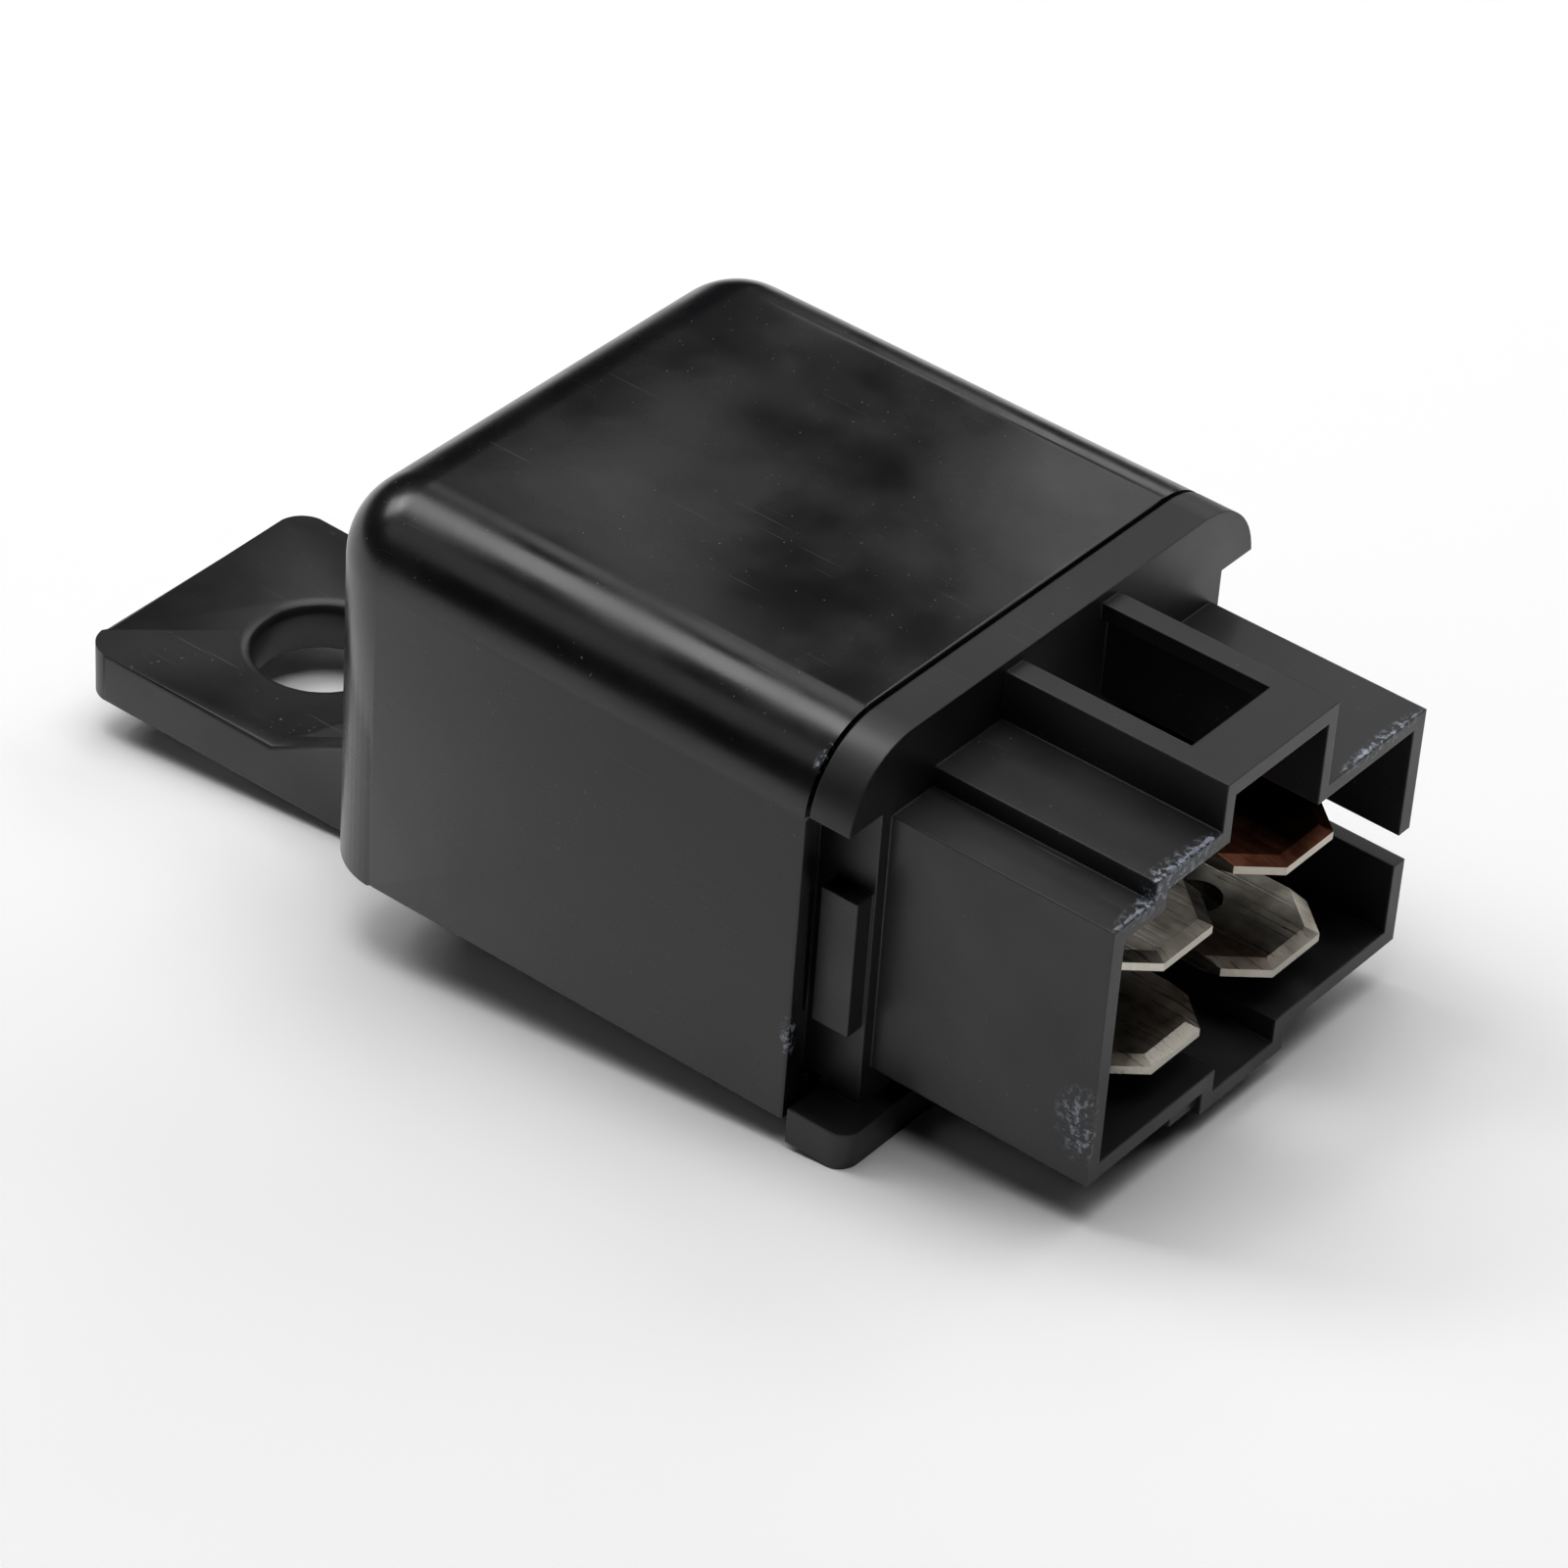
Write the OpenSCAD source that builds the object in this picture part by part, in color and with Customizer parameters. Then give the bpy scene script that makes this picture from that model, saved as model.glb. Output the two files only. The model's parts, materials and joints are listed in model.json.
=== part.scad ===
// Four-blade automotive relay: moulded cover, slide-on mounting bracket, connector base
// and the magnet with its contacts inside. Origin: centre of the mounting hole, on the
// bracket's underside. +X points towards the connector mouth, +Z up.

/* [Cover] */
// Length of the cover, from its back face to its open end
cover_l = 27.1; // [26:0.1:32]
// Width across the cover's sides
cover_w = 28; // [27.6:0.1:32]
// Height of the cover
cover_h = 19.7; // [19.4:0.1:24]
// Radius of the rounded top and back edges
cover_r = 3.9; // [2.4:0.1:4.4]
// Wall of the cover
cover_wall = 1.2; // [0.9:0.05:1.3]
// Length of the snap bead's groove inside each side wall
bead_l = 9; // [6:0.1:10]
// Radius of the snap bead
bead_r = 0.5; // [0.35:0.05:0.6]
// How far the snap bead stands out of the plug's side
bead_out = 0.3; // [0.2:0.05:0.35]

/* [Mounting bracket] */
// Thickness of the bracket's slab
tab_t = 2.64; // [2:0.02:4]
// Width of the bracket
tab_w = 15; // [13:0.1:20]
// Drop from the cover's underside to the slab's top
tab_drop = 2; // [1:0.1:4]
// Radius of the slab's two outer corners
tab_corner_r = 1.5; // [0.5:0.1:3]
// Diameter of the mounting hole
hole_d = 6.5; // [4.3:0.1:7]
// Countersunk rim round the top of the hole
hole_rim = 0.4; // [0.2:0.05:0.8]
// Distance from the hole's centre to the cover's back face
hole_to_back = 11.5; // [10.5:0.1:18]
// Distance from the hole's centre to the slab's free end
hole_to_end = 8.25; // [6:0.05:12]
// Thickness of the upright leg behind the cover
leg_t = 3; // [2.6:0.1:3.6]
// Height of the upright leg above the cover's underside
leg_h = 13.5; // [10:0.1:15]
// Length of a gusset along the slab
gusset_l = 4.9; // [3:0.1:6.5]
// Height of a gusset at the leg
gusset_h = 2.45; // [1.5:0.05:5]
// Thickness of a gusset
gusset_t = 1.3; // [0.8:0.05:2]
// Width of the cover's dovetail rail at its root
rail_root_w = 6; // [5:0.1:8]
// Extra width of the dovetail rail at its outer face, each side
rail_flare = 0.8; // [0.4:0.05:1.2]
// How far the dovetail rail stands out of the cover's back
rail_t = 1.7; // [1.2:0.05:1.9]
// Height of the lower end of the rail above the cover's underside
rail_z = 1.5; // [1:0.1:4]

/* [Base] */
// Depth of the base's plug inside the cover
plug_l = 2.4; // [1.8:0.1:3]
// Thickness of the flange
flange_t = 2.05; // [1.9:0.05:3]
// Shadow gap between the cover's end and the flange
seam_gap = 0.25; // [0.15:0.05:0.4]
// Depth of the flange's foot below the cover's underside
foot_drop = 1; // [0.5:0.1:1.5]
// Height of the foot
foot_h = 1.8; // [1.6:0.1:3]
// How far the foot stands out in front of the flange
foot_out = 1.1; // [0.5:0.1:2]
// Radius of the foot's front corners
foot_r = 0.9; // [0.4:0.1:1]
// Upper end of the side notches, below the cover's top
notch_top_drop = 3.5; // [3:0.1:5]
// Depth of the side notches
notch_d = 2.2; // [2:0.05:2.5]
// Lower end of the raised pad in a notch, above the cover's underside
pad_z = 5; // [3.5:0.1:6]
// Height of the pad
pad_h = 7; // [5:0.1:8]
// How far the pad stands out of the notch's floor
pad_out = 1; // [0.6:0.05:1.2]
// Setback of the pad behind the flange's front
pad_setback = 0.15; // [0.05:0.05:0.4]

/* [Connector shroud] */
// Length of the shroud in front of the flange
shroud_l = 11.3; // [9:0.1:14]
// Width across the shroud's side walls
shroud_w = 22.3; // [20:0.1:23]
// Wall of the shroud
shroud_wall = 0.8; // [0.7:0.05:1.2]
// Wall of the centre block
block_wall = 0.6; // [0.5:0.05:0.9]
// Thickness of the side rail's top
rail_plate = 0.7; // [0.5:0.05:1]
// Underside of the shroud above the cover's underside
shroud_z = 2.5; // [1.9:0.1:3]
// Drop from the cover's top to the top of the centre block
block_drop = 0.5; // [0.3:0.1:1.5]
// Width of the centre block
block_w = 7.8; // [6.6:0.1:9]
// Drop from the cover's top to the inner ledge
ledge_drop = 2.9; // [2.2:0.1:3.2]
// Outer edge of the inner ledge, from the shroud's middle
ledge_y = 8.4; // [6.5:0.1:9.5]
// Drop from the cover's top to the outer ledge
step_drop = 3.9; // [3.5:0.1:4.4]
// Drop from the cover's top to the top of the side rail
rail_drop = 4.8; // [4.2:0.1:5]
// Lower edge of the side slot above the cover's underside
slot_z = 6.9; // [6.4:0.1:7.4]
// Distance from the flange to the closed end of the side slot
slot_start = 1.5; // [1:0.1:4]
// Height of the side slot
slot_h = 1.7; // [1.5:0.1:2.6]
// Width of the polarising channel in the shroud's floor
key_w = 4.4; // [3:0.1:6]
// Depth of the polarising channel
key_d = 1.2; // [0.6:0.1:1.5]
// Length of the window in the block's roof, from the flange
window_l = 8.6; // [5:0.1:8.8]
// Width of the window
window_w = 5.5; // [4.4:0.1:5.6]
// Width of the small rib under the shroud's floor
rib_w = 1.8; // [1:0.1:2.4]
// Setback of the small rib from the channel's floor and from the mouth
rib_back = 0.3; // [0.2:0.05:0.6]

/* [Blades] */
// Width of a blade
blade_w = 6.3; // [4.8:0.1:6.4]
// Thickness of the blades and of their inner ends
blade_t = 0.8; // [0.6:0.05:1]
// Distance between the two columns of blades
column_pitch = 8.7; // [8.2:0.1:9.2]
// Height of the upper row above the cover's underside
row_z = 10.7; // [10.3:0.1:11.2]
// Distance between the two rows
row_pitch = 5.5; // [5:0.1:6]
// How far the blade tips stay behind the mouth
tip_setback = 0.7; // [0.3:0.1:2]
// Length of the bevel at a blade's tip
bevel_l = 1.7; // [0.8:0.1:2.4]
// Width of the bevel at a blade's tip
bevel_w = 1.45; // [0.6:0.05:2]
// Diameter of the hole in a blade
eye_d = 2.2; // [1.4:0.1:2.6]
// Distance from the tip to the blade's hole
eye_back = 5.2; // [4:0.1:6]
// Length of the coined chamfer round a blade's tip
coin_l = 0.6; // [0.3:0.05:1]
// Depth of the coined chamfer on each face
coin_d = 0.2; // [0.1:0.01:0.25]

/* [Magnet] */
// Thickness of the yoke
yoke_t = 2; // [1.5:0.1:2.2]
// Width of the yoke
yoke_w = 12; // [9:0.1:12.4]
// Distance from the cover's -Y side wall to the coil's axis
coil_side = 10.8; // [10.5:0.1:11.2]
// Room between the yoke and the base's plug for the blades' inner ends
yoke_gap = 2.1; // [1.9:0.1:2.4]
// Height of the coil's axis above the cover's underside
coil_z = 9.8; // [9.5:0.1:10.2]
// Distance from the cover's back face to the pole face
pole_x = 5.9; // [5.7:0.1:6.4]
// Diameter of the core
core_d = 6; // [4.5:0.1:6.6]
// Diameter of the core's pole head
pole_d = 9.5; // [8:0.1:11]
// Thickness of the core's pole head
pole_t = 1; // [0.7:0.1:1.4]
// Side of the bobbin's square flanges
bobbin_w = 13; // [12:0.1:13.2]
// Thickness of the bobbin's flanges
bobbin_t = 0.8; // [0.6:0.1:1]
// Wall of the bobbin's tube
tube_t = 0.7; // [0.5:0.05:1]
// Diameter of the winding
winding_d = 12.2; // [9.5:0.1:12.4]
// Thickness of the armature
armature_t = 1.5; // [1:0.1:1.7]
// Angle by which the armature stands open
open_angle = 3.5; // [2.5:0.1:4]

/* [Contacts] */
// Thickness of the leaf spring
leaf_t = 0.3; // [0.2:0.05:0.4]
// Width of the leaf spring
leaf_w = 7; // [5:0.1:7.4]
// Length of the leaf along the yoke
leaf_l = 10; // [7:0.1:12]
// Distance from the cover's +Y side wall to the contacts' axis
contact_side = 2.8; // [2.6:0.1:3.1]
// Diameter of the contacts
contact_d = 3.6; // [2.8:0.1:4]
// Thickness of a contact
contact_t = 1; // [0.7:0.1:1.1]
// Diameter of the rivets
rivet_d = 1.6; // [1.2:0.1:2]
// Thickness of a rivet's head
head_t = 0.5; // [0.3:0.05:0.6]
// Distance between the two rivets of a pair
rivet_pitch = 3.8; // [3:0.1:4.2]
// Thickness of the backstop
stop_t = 0.6; // [0.4:0.05:0.8]
// Width of the backstop
stop_w = 3; // [2:0.1:3.6]
// Diameter of the resistor
resistor_d = 1.5; // [1:0.1:1.6]
// Length of the resistor's body
resistor_l = 3.3; // [2.4:0.1:3.6]
// Diameter of the wire ends
wire_d = 0.4; // [0.3:0.05:0.5]

/* [Fits] */
// Clearance of sliding and plugged fits, each side
fit = 0.12; // [0.08:0.01:0.2]
// Clearance of pressed or riveted metal, each side
press = 0.04; // [0.02:0.01:0.06]
// Air between metal pieces that move or stand side by side
air = 0.1; // [0.06:0.01:0.2]

/* [Hidden] */
$fn = 64;
eps = 0.01;

// The cover's frame: X from its back face, Z from its underside
case_z = tab_t + tab_drop;
half_w = cover_w / 2;
inner_w = half_w - cover_wall;
inner_top = cover_h - cover_wall;

// How far a cut runs past the face it opens, and a joined piece runs into its neighbour
past = 1;

// Planes along X
plug_x = cover_l - plug_l;
flange_x = cover_l + seam_gap;
front_x = flange_x + flange_t;
mouth_x = front_x + shroud_l;
tip_x = mouth_x - tip_setback;

// Connector heights and places
block_top = cover_h - block_drop;
ledge_z = cover_h - ledge_drop;
step_z = cover_h - step_drop;
side_rail_z = cover_h - rail_drop;
foot_top = foot_h - foot_drop;
notch_top = cover_h - notch_top_drop;
rows = [row_z - row_pitch, row_z];
column_y = column_pitch / 2;
key_out = key_w / 2 + shroud_wall;
bead_x = plug_x + plug_l / 2;
bead_y = inner_w - fit + bead_out - bead_r;
bead_z = (cover_h - bead_l) / 2;

// Bracket
leg_corner_r = tab_corner_r + 0.5;

// Magnet, with the armature pulled in
coil_y = coil_side - inner_w;
yoke_back = plug_x - yoke_gap;
yoke_front = yoke_back - yoke_t;
leg_y = coil_y - bobbin_w / 2 - air - yoke_t;
yoke_far_y = coil_y + bobbin_w / 2;
yoke_bend_r = yoke_t + 0.5;
core_spigot_d = 0.75 * core_d;
tube_d = core_d + 2 * (press + tube_t);
bobbin_front = pole_x + pole_t;
armature_x = pole_x - air / 2;
leaf_x = armature_x - armature_t;
armature_w = yoke_w - armature_t / 2;
armature_end = yoke_far_y + yoke_t / 2;
pivot = [armature_x, leg_y + yoke_t / 5];

// Leaf spring
leaf_back_y = leg_y - air / 2 - leaf_t;
leaf_bend_r = leaf_t + air;
bend_steps = 8;

// Contacts
contact_y = inner_w - contact_side;
leaf_end = contact_y + contact_d / 2;
fixed_x = leaf_x + 2 * contact_t + air / 4;
fixed_z = row_z - blade_t / 2 - contact_d / 2 - 2 * air;
strip_w = contact_d - 2 * air;
strip_y = contact_y - strip_w / 2;

// Rivets
rivet_dz = rivet_pitch / 2;
armature_rivet_y = coil_y - rivet_pitch;
yoke_rivet_x = pole_x + rivet_pitch;
lug_w = 2 * rivet_d;
terminal_rivet_y = coil_y + rivet_pitch + pole_t;
terminal_rivet_z = rows[0] + blade_t / 2 + lug_w / 2 + pole_t;

// Blades' inner ends
tail_x = plug_x - 3 * air;
tail_w = yoke_gap - 9 * air;
post_w = 2 * wire_d;
post_y = -inner_w + 3 * air;
post_front = yoke_front - 3 * wire_d;

// Bosses of the base that the yoke stands on
boss_half = bobbin_w / 2 - armature_t + 5 * air;
boss_gap = blade_t / 2 + 5 * air;

// Backstop, just behind the opened leaf
stop_root = plug_l / 2;
stop_z = coil_z + leaf_w / 2 + stop_t - air;
stop_hook = 2 * stop_t + air;
stop_x = pivot[0] - (armature_t + leaf_t) * cos(open_angle) - (leaf_end - pivot[1]) * sin(open_angle) - air / 3;

// Wires
wire_sides = 12;
lead_angle = 130;
resistor_x = yoke_back - resistor_d / 2 - air / 2;
resistor_y = post_y + post_w + wire_d / 2 + air / 5;

// ---- shared forms ----

module at_case() {
    translate([hole_to_back, 0, case_z]) children();
}

// Block with round top and back edges, flat underside and open end
module round_case(l, half, h, r) {
    cube_to([r, -half + r, 0], [l, half - r, h]);
    cube_to([r, -half, 0], [l, half, h - r]);
    cube_to([0, -half + r, 0], [l, half - r, h - r]);
    translate([r, 0, h - r]) rotate([90, 0, 0])
        cylinder(r = r, h = 2 * (half - r), center = true);
    for (s = [-1, 1]) translate([r, s * (half - r), 0]) {
        cylinder(r = r, h = h - r);
        translate([0, 0, h - r]) {
            sphere(r = r);
            rotate([0, 90, 0]) cylinder(r = r, h = l - r);
        }
    }
}

module cube_to(low, high) {
    translate(low) cube(high - low);
}

// Upright outline in YZ, extruded along X from x0 to x1
module along_x(x0, x1) {
    translate([x0, 0, 0]) rotate([90, 0, 90]) linear_extrude(x1 - x0) children();
}

// Rectangle from z0 to z1 with both top corners round
module arch_2d(half, z0, z1, r) {
    translate([-half, z0]) square([2 * half, z1 - r - z0]);
    translate([-half + r, z0]) square([2 * (half - r), z1 - z0]);
    for (s = [-1, 1]) translate([s * (half - r), z1 - r]) circle(r);
}

// Both sides of the part: children are drawn for +Y and mirrored to -Y
module both_sides() {
    children();
    mirror([0, 1, 0]) children();
}

// Turns what is drawn with the armature pulled in to its rest place
module opened() {
    translate(pivot) rotate(open_angle) translate(-pivot) children();
}

// Bent wire through a list of points, with many-sided round knuckles
module wire(points, d) {
    for (i = [1:len(points) - 1]) hull() {
        translate(points[i - 1]) sphere(d = d, $fn = wire_sides);
        translate(points[i]) sphere(d = d, $fn = wire_sides);
    }
}

// ---- outer mouldings ----

module dovetail_2d(grow) {
    root = rail_root_w / 2 + grow;
    tip = root + rail_flare;
    polygon([
        [cover_wall / 2, -root], [cover_wall / 2, root], [0, root],
        [-rail_t - grow, tip], [-rail_t - grow, -tip], [0, -root],
    ]);
}

// Bead that snaps the plug into the cover; grow widens it to the groove
module snap_bead(grow) {
    translate([bead_x, bead_y, bead_z - grow]) cylinder(r = bead_r + grow, h = bead_l + 2 * grow);
}

module cover() color("#151515") at_case() {
    difference() {
        round_case(cover_l, half_w, cover_h, cover_r);
        translate([cover_wall, 0, cover_wall])
            round_case(cover_l, inner_w, inner_top - cover_wall, cover_r - cover_wall);
        both_sides() snap_bead(fit);
    }
    translate([0, 0, rail_z]) linear_extrude(leg_h - rail_z) dovetail_2d(0);
}

module bracket_slab_2d() {
    end = -hole_to_back - hole_to_end;
    half = tab_w / 2;
    r = tab_corner_r;
    translate([end + r, -half]) square([-air - end - r, tab_w]);
    translate([end, -half + r]) square([r + eps, tab_w - 2 * r]);
    for (s = [-1, 1]) translate([end + r, s * (half - r)]) circle(r);
}

module gusset() {
    root = -air - leg_t;
    translate([0, tab_w / 2, 0]) rotate([90, 0, 0]) linear_extrude(gusset_t) polygon([
        [root - gusset_l, -tab_drop], [root, -tab_drop + gusset_h], [root + past, -tab_drop + gusset_h],
        [root + past, -tab_drop - past], [root - gusset_l, -tab_drop - past],
    ]);
}

module bracket() color("#1b1b1b") at_case() difference() {
    union() {
        translate([0, 0, -case_z]) linear_extrude(tab_t) bracket_slab_2d();
        along_x(-air - leg_t, -air) arch_2d(tab_w / 2, -case_z, leg_h, leg_corner_r);
        both_sides() gusset();
    }
    translate([-hole_to_back, 0, -case_z - past]) cylinder(d = hole_d, h = tab_t + 2 * past);
    translate([-hole_to_back, 0, -tab_drop - hole_rim])
        cylinder(d1 = hole_d, d2 = hole_d + 4 * hole_rim, h = 2 * hole_rim);
    translate([0, 0, rail_z - fit]) linear_extrude(leg_h) dovetail_2d(fit);
}

// Stepped outline of the shroud, moved inwards: side is the walls, middle the block's sides
// and plate the side rail's top
function shroud_outline(side, middle, plate) = [
    [-shroud_w / 2 + side, shroud_z + side],
    [-shroud_w / 2 + side, step_z - side],
    [-ledge_y + side, step_z - side],
    [-ledge_y + side, ledge_z - side],
    [-block_w / 2 + middle, ledge_z - side],
    [-block_w / 2 + middle, block_top - side],
    [block_w / 2 - middle, block_top - side],
    [block_w / 2 - middle, side_rail_z - plate],
    [shroud_w / 2 - side, side_rail_z - plate],
    [shroud_w / 2 - side, shroud_z + side],
    [key_out - side, shroud_z + side],
    [key_out - side, shroud_z - key_d + side],
    [-key_out + side, shroud_z - key_d + side],
    [-key_out + side, shroud_z + side],
];

module shroud_solid() {
    along_x(front_x - past, mouth_x) polygon(shroud_outline(0, 0, 0));
    cube_to(
        [front_x - past, -key_out - rib_w, shroud_z - key_d + rib_back],
        [mouth_x - rib_back, -key_out + shroud_wall / 2, shroud_z + shroud_wall / 2]
    );
}

module shroud_openings() {
    along_x(front_x, mouth_x + past) polygon(shroud_outline(shroud_wall, block_wall, rail_plate));
    cube_to(
        [front_x, -window_w / 2, block_top - shroud_wall - past],
        [front_x + window_l, window_w / 2, cover_h + past]
    );
    cube_to(
        [front_x + slot_start, shroud_w / 2 - 2 * shroud_wall, slot_z],
        [mouth_x + past, half_w + past, slot_z + slot_h]
    );
}

module foot_2d() {
    end = front_x + foot_out;
    translate([flange_x, -half_w]) square([end - foot_r - flange_x, cover_w]);
    translate([flange_x, -half_w + foot_r]) square([end - flange_x, cover_w - 2 * foot_r]);
    for (s = [-1, 1]) translate([end - foot_r, s * (half_w - foot_r)]) circle(foot_r);
}

module flange_solid() {
    along_x(flange_x, front_x) arch_2d(half_w, -foot_drop, cover_h, cover_r);
    translate([0, 0, -foot_drop]) linear_extrude(foot_h) foot_2d();
}

module side_notch() {
    cube_to([flange_x - past, half_w - notch_d, foot_top], [front_x + past, half_w + past, notch_top]);
}

module side_pad() {
    floor_y = half_w - notch_d;
    cube_to([flange_x, floor_y - past, pad_z], [front_x - pad_setback, floor_y + pad_out, pad_z + pad_h]);
}

module plug_solid() {
    along_x(plug_x, flange_x + past)
        arch_2d(inner_w - fit, cover_wall + fit, inner_top - fit, cover_r - cover_wall - fit);
    both_sides() snap_bead(0);
    // Two bosses that the yoke stands on, clear of the blades' inner ends
    cube_to(
        [yoke_back, coil_y - boss_half, rows[1] + boss_gap],
        [plug_x + past, coil_y + boss_half, coil_z + yoke_w / 2 - 3 * air]
    );
    cube_to(
        [yoke_back, coil_y - boss_half, rows[0] + boss_gap],
        [plug_x + past, terminal_rivet_y - lug_w / 2 - 5 * air, rows[1] - boss_gap]
    );
}

module blade_slots() {
    for (y = [-column_y, column_y], z = rows) cube_to(
        [plug_x - past, y - blade_w / 2 - press, z - blade_t / 2 - press],
        [front_x + past, y + blade_w / 2 + press, z + blade_t / 2 + press]
    );
    cube_to(
        [plug_x - past, leaf_end - stop_w - press, stop_z - press],
        [plug_x + stop_root + fit, leaf_end + press, stop_z + stop_t + press]
    );
}

module base() color("#1a1a1a") at_case() difference() {
    union() {
        difference() {
            union() {
                flange_solid();
                plug_solid();
            }
            both_sides() side_notch();
        }
        both_sides() side_pad();
        shroud_solid();
    }
    shroud_openings();
    blade_slots();
}

// ---- blade terminals ----

// Corners of a blade's tip in plan, from its -Y side round to its +Y side
tip_corners = [
    [tip_x - bevel_l, -blade_w / 2],
    [tip_x, -blade_w / 2 + bevel_w],
    [tip_x, blade_w / 2 - bevel_w],
    [tip_x - bevel_l, blade_w / 2],
];

// Wedges that coin a chamfer round the tip, on the top and bottom faces
module coined_edges() {
    for (i = [1:len(tip_corners) - 1], m = [0, 1]) {
        from = tip_corners[i - 1];
        run = tip_corners[i] - from;
        mirror([0, 0, m]) translate([from[0], from[1], blade_t / 2]) rotate(atan2(run[1], run[0]))
            along_x(-past, norm(run) + past) polygon([
                [-past, -coin_d * (1 + past / coin_l)], [coin_l, 0], [coin_l, past], [-past, past],
            ]);
    }
}

// Blade from its inner end to its coined tip, centred on its own plane
module blade() {
    half = blade_w / 2;
    start = tail_x - tail_w;
    difference() {
        translate([0, 0, -blade_t / 2]) linear_extrude(blade_t)
            polygon(concat([[start, -half]], tip_corners, [[start, half]]));
        coined_edges();
        translate([tip_x - eye_back, 0, -past]) cylinder(d = eye_d, h = blade_t + 2 * past);
    }
}

module sheet(z) {
    translate([0, 0, z - blade_t / 2]) linear_extrude(blade_t) children();
}

module coil_terminal(z) at_case() {
    translate([0, -column_y, z]) blade();
    sheet(z) {
        translate([tail_x - tail_w, post_y]) square([tail_w, -column_y - post_y]);
        translate([post_front, post_y]) square([tail_x - post_front, post_w]);
    }
}

module coil_terminal_upper() color("#9a958c") coil_terminal(rows[1]);

module coil_terminal_lower() color("#9a958c") coil_terminal(rows[0]);

module load_terminal() color("#7a4a35") at_case() {
    translate([0, column_y, rows[1]]) blade();
    sheet(rows[1]) {
        translate([tail_x - tail_w, column_y]) square([tail_w, strip_y + strip_w - column_y]);
        translate([fixed_x, strip_y]) square([tail_x - fixed_x, strip_w]);
    }
    difference() {
        cube_to(
            [fixed_x, strip_y, fixed_z - strip_w / 2],
            [fixed_x + blade_t, strip_y + strip_w, rows[1] + blade_t / 2]
        );
        translate([fixed_x - past, contact_y, fixed_z]) rotate([0, 90, 0])
            cylinder(d = rivet_d + 2 * press, h = blade_t + 2 * past);
    }
}

module common_terminal() color("#9a958c") at_case() difference() {
    union() {
        translate([0, column_y, rows[0]]) blade();
        sheet(rows[0]) translate([yoke_back, terminal_rivet_y - lug_w / 2]) square([tail_x - yoke_back, lug_w]);
        cube_to(
            [yoke_back, terminal_rivet_y - lug_w / 2, rows[0] - blade_t / 2],
            [yoke_back + blade_t, terminal_rivet_y + lug_w / 2, terminal_rivet_z + lug_w / 2]
        );
    }
    translate([yoke_back - past, terminal_rivet_y, terminal_rivet_z]) rotate([0, 90, 0])
        cylinder(d = rivet_d + 2 * press, h = blade_t + 2 * past);
}

// ---- magnet ----

module along_z(width) {
    translate([0, 0, coil_z - width / 2]) linear_extrude(width) children();
}

// Yoke seen from above: a leg beside the coil and a plate behind it, with a bent corner
module yoke_2d() {
    r = yoke_bend_r;
    difference() {
        union() {
            translate([pole_x, leg_y]) square([yoke_back - pole_x, yoke_t]);
            translate([yoke_front, leg_y]) square([yoke_t, yoke_far_y - leg_y]);
        }
        translate([yoke_back - r, leg_y + r]) difference() {
            translate([0, -r - past]) square(r + past);
            circle(r);
        }
    }
}

module yoke() color("#b9bcc0") at_case() difference() {
    along_z(yoke_w) yoke_2d();
    translate([yoke_front - past, coil_y, coil_z]) rotate([0, 90, 0])
        cylinder(d = core_spigot_d + 2 * press, h = yoke_t + 2 * past);
    translate([yoke_front - past, terminal_rivet_y, terminal_rivet_z]) rotate([0, 90, 0])
        cylinder(d = rivet_d + 2 * press, h = yoke_t + 2 * past);
    for (s = [-1, 1]) translate([yoke_rivet_x, leg_y - past, coil_z + s * rivet_dz]) rotate([-90, 0, 0])
        cylinder(d = rivet_d + 2 * press, h = yoke_t + 2 * past);
}

module on_coil_axis(x) {
    translate([x, coil_y, coil_z]) rotate([0, 90, 0]) children();
}

module core() color("#c4c6c9") at_case() {
    on_coil_axis(pole_x) cylinder(d = pole_d, h = pole_t);
    on_coil_axis(pole_x) cylinder(d = core_d, h = yoke_front - pole_x);
    on_coil_axis(pole_x) cylinder(d = core_spigot_d, h = yoke_back - pole_x);
}

module bobbin() color("#e6e0d0") at_case() difference() {
    union() {
        on_coil_axis(bobbin_front) cylinder(d = tube_d, h = yoke_front - bobbin_front);
        for (x = [bobbin_front, yoke_front - bobbin_t])
            translate([x + bobbin_t / 2, coil_y, coil_z]) cube([bobbin_t, bobbin_w, bobbin_w], center = true);
    }
    on_coil_axis(bobbin_front - past)
        cylinder(d = core_d + 2 * press, h = yoke_front - bobbin_front + 2 * past);
}

module winding() color("#a5532a") at_case() difference() {
    on_coil_axis(bobbin_front + bobbin_t)
        cylinder(d = winding_d, h = yoke_front - bobbin_front - 2 * bobbin_t);
    on_coil_axis(bobbin_front) cylinder(d = tube_d, h = yoke_front - bobbin_front);
}

module armature_rivet_holes(x, h) {
    for (s = [-1, 1]) translate([x, armature_rivet_y, coil_z + s * rivet_dz]) rotate([0, 90, 0])
        cylinder(d = rivet_d + 2 * press, h = h);
}

module armature() color("#b4b7bb") at_case() opened() difference() {
    cube_to(
        [leaf_x, pivot[1], coil_z - armature_w / 2],
        [armature_x, armature_end, coil_z + armature_w / 2]
    );
    armature_rivet_holes(leaf_x - past, armature_t + 2 * past);
}

// A point of the plan, given with the armature pulled in, turned to its rest place
function turned(p) = [
    pivot[0] + (p[0] - pivot[0]) * cos(open_angle) - (p[1] - pivot[1]) * sin(open_angle),
    pivot[1] + (p[0] - pivot[0]) * sin(open_angle) + (p[1] - pivot[1]) * cos(open_angle),
];

function on_arc(c, r, a) = [c[0] + r * cos(a), c[1] + r * sin(a)];

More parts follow.
